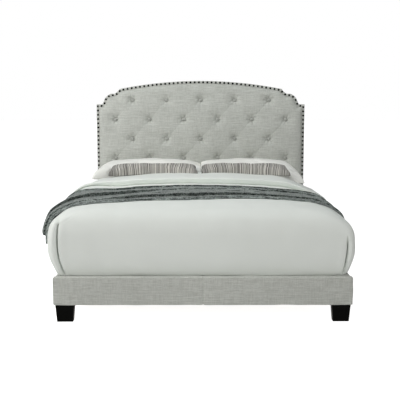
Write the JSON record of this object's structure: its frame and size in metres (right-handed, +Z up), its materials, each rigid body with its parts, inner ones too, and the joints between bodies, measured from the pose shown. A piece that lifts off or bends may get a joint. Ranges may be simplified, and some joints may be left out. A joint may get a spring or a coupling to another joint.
{
  "type": "upholstered bed",
  "caption": "Made-up upholstered bed with a button-tufted arched headboard, nail-head trim, low padded footboard and rails, block feet and bedding.",
  "frame": {"origin": "on the floor under the middle of the bed, at the middle glide", "axes": "+Z up, +Y towards the headboard, +X to the right seen from the foot end"},
  "size_m": [1.8038, 2.231, 1.348],
  "materials": {
    "frame_cloth": "warm light grey linen-look weave",
    "plywood": "raw plywood",
    "frame_timber": "sawn softwood",
    "slat_timber": "planed softwood",
    "dust_cloth": "thin black dust cloth",
    "nail_black": "black, satin",
    "foot_black": "black satin lacquer",
    "zinc_steel": "zinc plated",
    "glide_plastic": "black nylon",
    "foundation_cloth": "pale ticking",
    "foundation_felt": "needled felt",
    "mattress_cloth": "white knitted ticking",
    "duvet_cotton": "off-white cotton",
    "throw_knit": "charcoal knit with pale flecks",
    "pillow_cotton": "white cotton",
    "accent_stripe": "fine grey and white stripes"
  },
  "bodies": {
    "frame": {"headboard_border_cover": "frame_cloth", "headboard_pad": "frame_cloth", "headboard_panel": "plywood", "headboard_timbers": "frame_timber", "headboard_crest_board": "frame_timber", "headboard_back_cover": "dust_cloth", "tuft_buttons": "frame_cloth", "nail_heads_left": "nail_black", "nail_heads_top": "nail_black", "nail_heads_right": "nail_black", "rear_foot_left": "foot_black", "rear_foot_right": "foot_black", "front_foot_left": "foot_black", "front_foot_right": "foot_black", "footboard_cover": "frame_cloth", "footboard_timber": "frame_timber", "side_rail_cover_left": "frame_cloth", "side_rail_cover_right": "frame_cloth", "side_rail_timber_left": "frame_timber", "side_rail_timber_right": "frame_timber", "ledge_left": "slat_timber", "ledge_right": "slat_timber", "slats": "slat_timber", "slat_screws": "zinc_steel", "centre_beam": "slat_timber", "support_legs": "foot_black", "beam_brackets": "zinc_steel", "beam_bracket_bolts": "zinc_steel", "foot_bolts": "zinc_steel", "corner_plates": "zinc_steel", "corner_bolts": "zinc_steel"},
    "glide_front": {"glide_front": "glide_plastic"},
    "glide_middle": {"glide_middle": "glide_plastic"},
    "glide_rear": {"glide_rear": "glide_plastic"},
    "foundation": {"foundation_cover": "foundation_cloth", "foundation_boards": "slat_timber", "foundation_slats": "slat_timber", "foundation_pad": "foundation_felt"},
    "mattress": {"mattress": "mattress_cloth"},
    "duvet": {"duvet": "duvet_cotton"},
    "throw": {"throw": "throw_knit"},
    "pillow_left": {"pillow_left": "pillow_cotton"},
    "pillow_right": {"pillow_right": "pillow_cotton"},
    "accent_pillow_left": {"accent_pillow_left": "accent_stripe"},
    "accent_pillow_right": {"accent_pillow_right": "accent_stripe"}
  },
  "joints": [
    {"name": "glide_front_screw", "type": "slide", "parent": "frame", "child": "glide_front", "axis": [0, 0, -1], "range_m": [0, 0.012]},
    {"name": "glide_middle_screw", "type": "slide", "parent": "frame", "child": "glide_middle", "axis": [0, 0, -1], "range_m": [0, 0.012]},
    {"name": "glide_rear_screw", "type": "slide", "parent": "frame", "child": "glide_rear", "axis": [0, 0, -1], "range_m": [0, 0.012]},
    {"name": "foundation_lift", "type": "slide", "parent": "frame", "child": "foundation", "axis": [0, 0, 1], "range_m": [0, 0.25]},
    {"name": "mattress_lift", "type": "slide", "parent": "foundation", "child": "mattress", "axis": [0, 0, 1], "range_m": [0, 0.3]},
    {"name": "duvet_lift", "type": "slide", "parent": "mattress", "child": "duvet", "axis": [0, 0, 1], "range_m": [0, 0.4]},
    {"name": "throw_lift", "type": "slide", "parent": "duvet", "child": "throw", "axis": [0, 0, 1], "range_m": [0, 0.3]},
    {"name": "pillow_left_lift", "type": "slide", "parent": "duvet", "child": "pillow_left", "axis": [0, 0, 1], "range_m": [0, 0.3]},
    {"name": "pillow_right_lift", "type": "slide", "parent": "duvet", "child": "pillow_right", "axis": [0, 0, 1], "range_m": [0, 0.3]},
    {"name": "accent_pillow_left_lift", "type": "slide", "parent": "pillow_left", "child": "accent_pillow_left", "axis": [0, 0, 1], "range_m": [0, 0.25]},
    {"name": "accent_pillow_right_lift", "type": "slide", "parent": "pillow_right", "child": "accent_pillow_right", "axis": [0, 0, 1], "range_m": [0, 0.25]}
  ]
}
